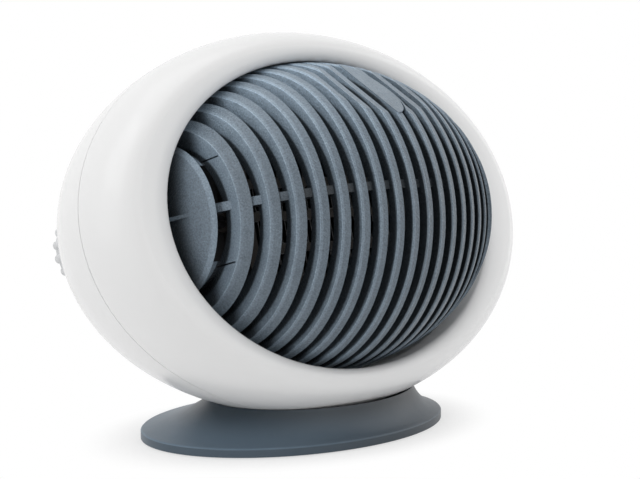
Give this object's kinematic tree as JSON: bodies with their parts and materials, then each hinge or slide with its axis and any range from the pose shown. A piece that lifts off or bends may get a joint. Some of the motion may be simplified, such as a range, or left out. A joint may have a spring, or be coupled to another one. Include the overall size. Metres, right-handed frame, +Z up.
{
  "type": "fan heater",
  "caption": "Egg-shaped table-top fan heater on an oval foot: a barrel of dark louvre rings fills its white shell's front, with a ceramic heater and fan inside and dials at the rear.",
  "frame": {"origin": "on the table plane that the rubber pads stand on, under the middle of the part's width and depth", "axes": "+Z up, -Y out of the louvred front, +X to the right as seen from the front"},
  "size_m": [0.268, 0.1671, 0.1939],
  "materials": {
    "white_shell": "satin gloss white",
    "slate_plastic": "fine-textured blue-grey",
    "black_plastic": "matt black",
    "heat_resin": "matt heat-resistant resin",
    "fin_metal": "bare sheet",
    "ptc_ceramic": "unglazed",
    "tab_brass": "bare",
    "steel": "plain zinc-plated",
    "black_steel": "black zinc-plated",
    "knob_plastic": "satin pale grey",
    "block_resin": "matt",
    "pad_rubber": "matt black"
  },
  "bodies": {
    "body": {"base_plate": "black_plastic", "case_screws": "steel", "cord_gland": "black_plastic", "fan_shroud": "black_plastic", "foot": "slate_plastic", "foot_screws": "steel", "front_shell": "white_shell", "gland_nut": "black_plastic", "heater_bars": "ptc_ceramic", "heater_fins": "fin_metal", "heater_frame": "heat_resin", "heater_screws": "black_steel", "heater_tabs": "tab_brass", "intake_filter": "black_plastic", "mode_switch_body": "black_plastic", "mode_switch_nut": "steel", "motor_bushes": "tab_brass", "motor_cap": "steel", "motor_case": "steel", "motor_screws": "black_steel", "motor_stator": "steel", "outlet_grille": "slate_plastic", "plate_screws": "steel", "rear_shell": "white_shell", "rubber_pads": "pad_rubber", "shroud_screws": "black_steel", "terminal_block": "block_resin", "thermal_cutout": "steel", "thermal_fuse": "steel", "thermostat_body": "black_plastic", "thermostat_nut": "steel"},
    "fan": {"fan_impeller": "black_plastic", "motor_shaft": "steel", "motor_rotor": "steel"},
    "thermostat_dial": {"thermostat_knob": "knob_plastic", "thermostat_spindle": "steel"},
    "mode_dial": {"mode_knob": "knob_plastic", "mode_switch_spindle": "steel"}
  },
  "joints": [
    {"name": "fan_spin", "type": "hinge", "parent": "body", "child": "fan", "pos_m": [0, 0.01085, 0.09916], "axis": [0, 0.9703, -0.2419], "continuous": true},
    {"name": "thermostat_turn", "type": "hinge", "parent": "body", "child": "thermostat_dial", "pos_m": [-0.082, 0.05019, 0.09162], "axis": [0, -0.9703, 0.2419], "range_deg": [0, 270]},
    {"name": "mode_turn", "type": "hinge", "parent": "body", "child": "mode_dial", "pos_m": [0.082, 0.05019, 0.09162], "axis": [0, -0.9703, 0.2419], "range_deg": [0, 135]}
  ]
}
